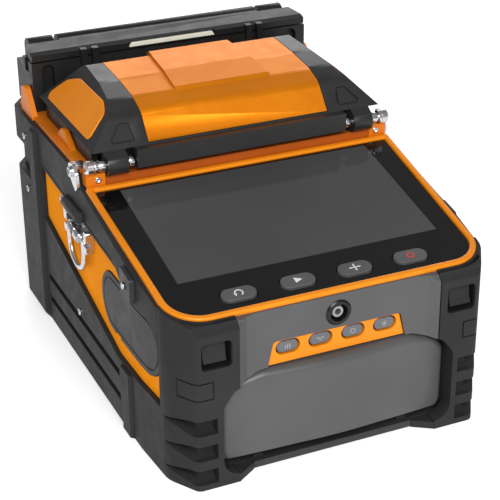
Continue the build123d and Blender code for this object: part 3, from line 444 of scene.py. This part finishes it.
def ribbon(points, width):
    """Outline of a stroke of even width along some points."""
    left = []
    right = []
    for index, point in enumerate(points):
        before = Vector(points[max(index - 1, 0)])
        after = Vector(points[min(index + 1, len(points) - 1)])
        along = (after - before).normalized()
        side = Vector((-along.y, along.x)) * width / 2
        left.append(Vector(point) + side)
        right.append(Vector(point) - side)
    return left + right[::-1]


def arc(radius, start, end, steps=24, centre=(0, 0)):
    """Points along an arc, in degrees."""
    points = []
    for step in range(steps + 1):
        angle = math.radians(start + (end - start) * step / steps)
        points.append((centre[0] + radius * math.cos(angle), centre[1] + radius * math.sin(angle)))
    return points


def ring_radius(shape, radius, angle):
    """Radius of a round, hexagonal or knurled ring at an angle."""
    if shape == "hex":
        sixth = math.pi / 3
        return radius / math.cos((angle + sixth / 2) % sixth - sixth / 2)
    if shape == "knurl":
        return radius * (1.0 + 0.035 * math.cos(24 * angle))
    return radius


class Mesh:
    """Solid shapes, in mm, that are gathered into one piece."""

    def __init__(self):
        self.mesh = bmesh.new()

    def prism(self, points, place, low, high):
        """Outline pushed from one height to another along the place's outward direction."""
        rings = []
        for height in (low, high):
            ring = [self.mesh.verts.new((place @ Vector((x, y, height))) * MM) for x, y in points]
            rings.append(ring)
        self.mesh.faces.new(rings[0][::-1])
        self.mesh.faces.new(rings[1])
        count = len(points)
        for index in range(count):
            following = (index + 1) % count
            self.mesh.faces.new((rings[0][index], rings[0][following],
                                 rings[1][following], rings[1][index]))

    def bar(self, place, size, low, high):
        """Rectangle of a size, pushed along the outward direction."""
        half_x = size[0] / 2
        half_y = size[1] / 2
        corners = [(-half_x, -half_y), (half_x, -half_y), (half_x, half_y), (-half_x, half_y)]
        self.prism(corners, place, low, high)

    def turned(self, profile, place, segments=48):
        """Turned solid from rings of (radius, height) or (radius, height, shape), bottom first."""
        rings = []
        for entry in profile:
            radius, height = entry[:2]
            shape = entry[2] if len(entry) > 2 else "round"
            ring = []
            for step in range(segments):
                angle = 2 * math.pi * step / segments
                reach = ring_radius(shape, radius, angle)
                local = Vector((reach * math.cos(angle), reach * math.sin(angle), height))
                ring.append(self.mesh.verts.new((place @ local) * MM))
            rings.append(ring)
        for lower, upper in zip(rings, rings[1:]):
            for step in range(segments):
                following = (step + 1) % segments
                self.mesh.faces.new((lower[step], lower[following], upper[following], upper[step]))
        self.mesh.faces.new(rings[0][::-1])
        self.mesh.faces.new(rings[-1])

    def tube(self, outer, inner, place, low, high):
        """Frame between two outlines with the same number of points."""
        layers = []
        for points, height in ((outer, low), (outer, high), (inner, high), (inner, low)):
            layer = [self.mesh.verts.new((place @ Vector((x, y, height))) * MM) for x, y in points]
            layers.append(layer)
        count = len(outer)
        for first, second in zip(layers, layers[1:] + layers[:1]):
            for index in range(count):
                following = (index + 1) % count
                self.mesh.faces.new((first[index], first[following],
                                     second[following], second[index]))

    def piece(self, name, body, slot, material, bevel_mm=0.0):
        """Finish the shapes as one piece that rides on a body."""
        bmesh.ops.recalc_face_normals(self.mesh, faces=self.mesh.faces)
        data = bpy.data.meshes.new(name)
        self.mesh.to_mesh(data)
        self.mesh.free()
        piece = bpy.data.objects.new(name, data)
        bpy.context.scene.collection.objects.link(piece)
        data.materials.append(material)
        if bevel_mm:
            bevel = piece.modifiers.new("bevel", "BEVEL")
            bevel.width = bevel_mm * MM
            bevel.segments = 2
            bevel.limit_method = "ANGLE"
            bevel.angle_limit = math.radians(30)
        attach(piece, body)
        return piece


def rounded(width, height, radius, steps=6):
    """Rectangle with rounded corners, centred on the place."""
    points = []
    corners = ((1, 1, 0), (-1, 1, 90), (-1, -1, 180), (1, -1, 270))
    for side_x, side_y, start in corners:
        centre = (side_x * (width / 2 - radius), side_y * (height / 2 - radius))
        points.extend(arc(radius, start, start + 90, steps, centre))
    return points


# ---------------------------------------------------------------- key icons
def deck_place(x, along):
    """A place on the screen deck's top plane."""
    angle = math.atan(SCREEN_RISE)
    back = along * math.cos(angle)
    height = SCREEN_HEIGHT + along * math.sin(angle)
    outward = (0, -math.sin(angle), math.cos(angle))
    up = (0, math.cos(angle), math.sin(angle))
    return at(x, back, height, outward, up)


def arrow_head(tip, direction, size):
    """Triangle that points along a direction, in degrees."""
    corners = []
    for turn, reach in ((0, size), (130, size * 0.9), (230, size * 0.9)):
        angle = math.radians(direction + turn)
        corners.append((tip[0] + reach * math.cos(angle), tip[1] + reach * math.sin(angle)))
    return corners


def return_icon():
    """Arrow that loops back."""
    loop = ribbon(arc(1.5, -60, 200), 0.5)
    head = arrow_head((-1.5, -0.7), 268, 0.95)
    return [loop, head]


def run_icon():
    """Triangle that points right."""
    return [[(-1.3, -1.5), (1.7, 0.0), (-1.3, 1.5)]]


def axis_icon():
    """Two crossed double arrows."""
    strokes = [ribbon([(-1.9, 0), (1.9, 0)], 0.42), ribbon([(0, -1.5), (0, 1.5)], 0.42)]
    for tip, direction in (((-1.9, 0), 180), ((1.9, 0), 0), ((0, -1.5), 270), ((0, 1.5), 90)):
        strokes.append(arrow_head(tip, direction, 0.7))
    return strokes


def power_icon():
    """Broken ring with a bar through the gap."""
    return [ribbon(arc(1.45, -235, 55), 0.46), ribbon([(0, 0.5), (0, 2.1)], 0.46)]


def make_menu_icons():
    """Moulded icons on the four screen keys."""
    icons = {"return": return_icon(), "run": run_icon(), "axis": axis_icon(), "power": power_icon()}
    top = KEY_PROUD - GLASS_DROP
    for key, x in MENU_KEYS.items():
        mark = Mesh()
        for points in icons[key]:
            mark.prism(points, deck_place(x, MENU_ROW), top - 0.15, top + INK)
        ink = RED_INK if key == "power" else WHITE_INK
        mark.piece("menu_icon_" + key, "menu_key_" + key, "menu_rubber", ink)


def wave_points():
    """One and a half periods of a sine wave."""
    return [(-1.5 + step * 0.1, 0.6 * math.sin(step * 0.1 * math.pi)) for step in range(31)]


def make_meter_icons():
    """Small printed signs on the meter keys: bars, a wave, a ring and a sun."""
    bars = [ribbon([(x, -0.9), (x, 0.9 - 0.5 * (x < 0))], 0.4) for x in (-0.9, 0.0, 0.9)]
    sun = [arc(0.55, 0, 345, 23)]
    for turn in range(8):
        angle = math.radians(45 * turn)
        near = (0.85 * math.cos(angle), 0.85 * math.sin(angle))
        far = (1.3 * math.cos(angle), 1.3 * math.sin(angle))
        sun.append(ribbon([near, far], 0.25))
    icons = {
        "unit": bars,
        "wave": [ribbon(wave_points(), 0.32)],
        "zero": [ribbon(arc(0.95, 92, 448, 32), 0.32)],
        "light": sun,
    }
    for key, x in METER_KEYS.items():
        place = at(x, METER_FACE, METER_HEIGHT, (0, -1, 0), (0, 0, 1))
        mark = Mesh()
        for points in icons[key]:
            mark.prism(points, place, -0.1, INK)
        mark.piece("meter_icon_" + key, "meter_key_" + key, "meter_rubber", GREY_INK)


# ---------------------------------------------------------------- screws and plates
def socket_screw(mesh, place, radius, height, dome=0.35):
    """Domed head with a hexagonal socket; the place lies under the head."""
    socket = radius * 0.46
    mesh.turned([
        (radius, 0.0), (radius, height - dome), (radius * 0.88, height - dome * 0.35),
        (radius * 0.66, height), (socket, height, "hex"), (socket, height * 0.35, "hex"),
    ], place)


def make_case_screws():
    """Case screws on both sides, in place of the plain heads."""
    heads = Mesh()
    # Distance from the middle, distance back, z, head radius and head height.
    sizes = [
        (69.4, 100.8, 91.6, 2.2, 1.2), (68.0, 105.0, 26.0, 1.5, 0.9),
        (69.0, 168.0, 57.0, 1.5, 0.9), (69.0, 168.0, 82.0, 1.5, 0.9),
    ]
    for side in (-1, 1):
        for x, back, z, radius, height in sizes:
            socket_screw(heads, at(side * x, back, z, (side, 0, 0), (0, 0, 1)), radius, height)
        socket_screw(heads, at(side * 61.7, 90.8, 90.4, (0, -1, 0), (0, 0, 1)), 1.3, 0.7, 0.2)
    piece = heads.piece("case_screw_heads", "case", "chrome", MATERIALS["chrome"])
    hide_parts("case_screws")


def make_hinge_caps():
    """Plated bosses over the round ends of the wind cover's hinge cheeks."""
    caps = Mesh()
    for side in (-1, 1):
        place = at(side * 63.5, 91.0, 96.0, (side, 0, 0), (0, 0, 1))
        caps.turned([
            (2.4, 0.0), (2.85, 0.3), (2.85, 2.6), (2.5, 3.1), (1.7, 3.1), (1.5, 2.9), (0.6, 2.9),
        ], place)
    caps.piece("hinge_caps", "case", "chrome", MATERIALS["chrome"])


def make_pocket_shade_liners():
    """Painted shade: deep black liners darkening the walls of the front corner guards' square pockets.
    """
    liners = Mesh()
    for side in (-1, 1):
        place = at(side * 50.55, 5.5, 56.5, (0, -1, 0), (0, 0, 1))
        liners.tube(rounded(12.0, 10.7, 1.55), rounded(11.5, 10.2, 1.3), place, 0.0, 5.0)
    liners.piece("pocket_shade_liners", "case", "black_plastic", DEEP_BLACK)


def make_stage_screws():
    """Cap screws that hold the machined plate, sunk in their holes."""
    heads = Mesh()
    for side in (-1, 1):
        for back in (100.5, 158.0):
            socket_screw(heads, at(side * 52.0, back, STAGE_TOP - 2.0), 2.1, 1.8, 0.3)
    heads.piece("stage_screws", "case", "chrome", MATERIALS["chrome"])


def make_panel_screws():
    """Screws in the rear panel and in the underside."""
    heads = Mesh()
    for side in (-1, 1):
        for z in (6.0, 87.0):
            socket_screw(heads, at(side * 38.5, 192.2, z, (0, 1, 0), (0, 0, 1)), 1.8, 0.9)
        for back in (45.0, 97.0, 150.0):
            socket_screw(heads, at(side * 30.0, back, TRAY_BOTTOM, (0, 0, -1)), 2.2, 0.5, 0.15)
    heads.piece("panel_screws", "case", "chrome", MATERIALS["chrome"])


def make_lug_pins():
    """Domed pin end on the outer face of each side lug."""
    pins = Mesh()
    for side in (-1, 1):
        pins.turned([(1.35, 0.0), (1.3, 0.25), (0.8, 0.5), (0.05, 0.6)],
                    at(side * 70.0, 42.5, 68.6, (side, 0, 0), (0, 0, 1)), 24)
    pins.piece("lug_pins", "case", "chrome", MATERIALS["chrome"])


def make_rating_plate():
    """Blank metal plate on the rear panel, with a printed border and four rivets."""
    place = at(0, REAR_FACE, 20.0, (0, 1, 0), (0, 0, 1))
    plate = Mesh()
    plate.prism(rounded(66.0, 15.0, 1.5), place, -0.1, 0.3)
    plate.piece("rating_plate", "case", "machined", MATERIALS["machined"], 0.08)
    border = Mesh()
    border.tube(rounded(62.0, 12.0, 1.0), rounded(61.2, 11.2, 0.7), place, 0.25, 0.3 + INK)
    border.piece("rating_border", "case", "black_plastic", BLACK_INK)
    rivets = Mesh()
    for side in (-1, 1):
        for z in (14.2, 25.8):
            rivets.turned([(0.9, 0.0), (0.85, 0.25), (0.45, 0.45), (0.05, 0.5)],
                          at(side * 31.6, REAR_FACE + 0.3, z, (0, 1, 0), (0, 0, 1)), 24)
    rivets.piece("rating_rivets", "case", "chrome", MATERIALS["chrome"])


def make_feet():
    """Four ribbed rubber feet under the tray."""
    feet = Mesh()
    for side in (-1, 1):
        for back in (24.0, 168.0):
            feet.turned([
                (7.0, 0.0), (6.6, 0.55), (5.2, 0.55), (5.0, 0.35),
                (3.6, 0.35), (3.4, 0.55), (1.0, 0.55),
            ], at(side * 46.0, back, TRAY_BOTTOM, (0, 0, -1)))
    feet.piece("rubber_feet", "case", "flap_rubber", MATERIALS["flap_rubber"])


def make_fan():
    """Cooling fan behind the rear grille: frame, hub and seven blades."""
    place = at(0, 184.0, 53.0, (0, 1, 0), (0, 0, 1))
    frame_mesh = Mesh()
    frame_mesh.tube(rounded(40.0, 40.0, 3.0, 11), arc(18.4, 0, 360 - 7.5, 47), place, -6.0, 3.6)
    frame_mesh.piece("fan_frame", "case", "black_plastic", MATERIALS["black_plastic"])
    rotor = Mesh()
    rotor.turned([(8.0, -5.5), (8.0, 2.4), (7.4, 3.0), (0.4, 3.0)], place)
    blades = 7
    pitch = Matrix.Rotation(math.radians(38), 4, "X")
    for blade in range(blades):
        turn = Matrix.Rotation(math.radians(360 / blades * blade), 4, "Z")
        rotor.bar(place @ turn @ Matrix.Translation((12.8, 0, -1.2)) @ pitch, (10.0, 10.0), -0.45, 0.45)
    rotor.piece("fan_rotor", "case", "black_plastic", MATERIALS["black_plastic"])


def make_sockets():
    """Metal liners of the USB and card sockets behind the flap."""
    liners = Mesh()
    usb = at(-62.6, 46.5, 49.5, (-1, 0, 0), (0, 0, 1))
    liners.tube(rounded(12.9, 5.1, 0.4), rounded(12.4, 4.6, 0.25), usb, -7.6, 0.0)
    card = at(-62.6, 62.5, 49.5, (-1, 0, 0), (0, 0, 1))
    liners.tube(rounded(8.9, 2.5, 0.3), rounded(8.4, 2.0, 0.2), card, -7.6, 0.0)
    liners.piece("socket_liners", "case", "connector_metal", MATERIALS["machined"])


# ---------------------------------------------------------------- splice chamber
def make_thumb_knurls():
    """Knurled sleeves on the electrode thumb screws."""
    sleeves = Mesh()
    for back in (107.5, 2 * FIBRE_BACK - 107.5):
        sleeves.turned([
            (2.9, 0.0), (3.15, 0.3, "knurl"), (3.15, 2.9, "knurl"), (2.9, 3.2), (1.2, 3.2), (1.2, 2.9),
        ], at(0, back, 103.7), 96)
    sleeves.piece("thumb_screw_sleeves", "case", "machined", MATERIALS["machined"])


def make_holder_marks():
    """Length marks along the edge of both fibre holders."""
    marks = Mesh()
    for side in (-1, 1):
        for step in range(9):
            length = 1.0 if step % 4 else 0.7
            place = at(side * (29.0 + 2.5 * step), 113.55 + (1.0 - length) / 2, 99.0)
            marks.bar(place, (0.22, length - 0.2), -0.05, INK)
    marks.piece("holder_marks", "case", "black_plastic", BLACK_INK)


def make_cover_lamps():
    """Two lamp domes and the mirror strips on the wind cover's underside."""
    lamps = Mesh()
    for back in (118.0, 132.0):
        for x in (-5.0, 5.0):
            lamps.turned([(1.3, 0.0), (1.3, 0.5), (1.0, 1.0), (0.5, 1.3), (0.1, 1.36)],
                         at(x, back, 109.0, (0, 0, -1)), 32)
    lamps.piece("cover_lamps", "wind_cover", "diffuser", MATERIALS["diffuser"])
    mirror = Mesh()
    sine = math.sin(math.radians(MIRROR_TILT))
    cosine = math.cos(math.radians(MIRROR_TILT))
    for direction in (-1, 1):
        middle = FIBRE_BACK + direction * 1.9
        normal = (0, -direction * sine, -cosine)
        place = at(0, middle, 110.2, normal, (0, cosine, -direction * sine))
        mirror.prism(rounded(38.0, 3.4, 0.3), place, -0.02, 0.2)
    mirror.piece("cover_mirror_glass", "wind_cover", "chrome", MATERIALS["chrome"])


make_menu_icons()
make_meter_icons()
make_case_screws()
make_hinge_caps()
make_pocket_shade_liners()
make_stage_screws()
make_panel_screws()
make_lug_pins()
make_rating_plate()
make_feet()
make_fan()
make_sockets()
make_thumb_knurls()
make_holder_marks()
make_cover_lamps()


# ---------------------------------------------------------------- floor, light and camera
def make_floor():
    """Plain pale floor that the instrument stands on."""
    bpy.ops.mesh.primitive_plane_add(size=6.0, location=(0, 0, -0.0002))
    floor = bpy.context.object
    floor.name = "floor"
    surface = Surface("floor", roughness=0.6)
    cloud = surface.noise(300.0, 2.0)
    surface.colour(surface.mix(cloud, (0.88, 0.88, 0.88), (0.90, 0.90, 0.90)))
    surface.shader.inputs["Emission Color"].default_value = (1.0, 1.0, 1.0, 1.0)
    surface.shader.inputs["Emission Strength"].default_value = 0.35
    floor.data.materials.append(surface.material)


def area_light(name, place, aim, size, power):
    """White soft box at a place, pointing at another; metres and watts."""
    data = bpy.data.lights.new(name, "AREA")
    data.shape = "RECTANGLE"
    data.size, data.size_y = size
    data.energy = power
    light = bpy.data.objects.new(name, data)
    bpy.context.scene.collection.objects.link(light)
    direction = Vector(aim) - Vector(place)
    light.location = place
    light.rotation_euler = direction.to_track_quat("-Z", "Y").to_euler()


def make_lights():
    """Soft studio light: a large key in front, and a box behind for the sheen on flat tops."""
    area_light("key", (-0.3, -1.15, 0.9), (0, 0, 0.05), (0.9, 0.6), 22.0)
    area_light("back", (0.5, 1.25, 0.62), (0, 0, 0.1), (1.4, 0.5), 7.0)
    world = bpy.data.worlds.new("studio")
    world.use_nodes = True
    world.node_tree.nodes["Background"].inputs["Color"].default_value = (1.0, 1.0, 1.0, 1.0)
    world.node_tree.nodes["Background"].inputs["Strength"].default_value = 0.28
    bpy.context.scene.world = world
    bpy.context.scene.view_settings.view_transform = "Standard"


def make_camera():
    """Camera at the main view's angle, distance and focal length."""
    azimuth = math.radians(-24.15)
    elevation = math.radians(26.61)
    roll = math.radians(-0.42)
    target = Vector((-3.15, 76.31 + FRONT, 53.91)) * MM
    distance = 602.74 * MM
    level = math.cos(elevation)
    back = Vector((math.sin(azimuth) * level, -math.cos(azimuth) * level, math.sin(elevation)))
    right = Vector((0, 0, 1)).cross(back).normalized()
    up = back.cross(right)
    rolled_right = right * math.cos(roll) + up * math.sin(roll)
    rolled_up = up * math.cos(roll) - right * math.sin(roll)
    data = bpy.data.cameras.new("camera")
    data.lens = 106.0
    data.sensor_width = 36.0
    camera = bpy.data.objects.new("camera", data)
    bpy.context.scene.collection.objects.link(camera)
    axes = Matrix((rolled_right, rolled_up, back)).transposed()
    camera.matrix_world = Matrix.Translation(target + back * distance) @ axes.to_4x4()
    bpy.context.scene.camera = camera


make_floor()
make_lights()
make_camera()
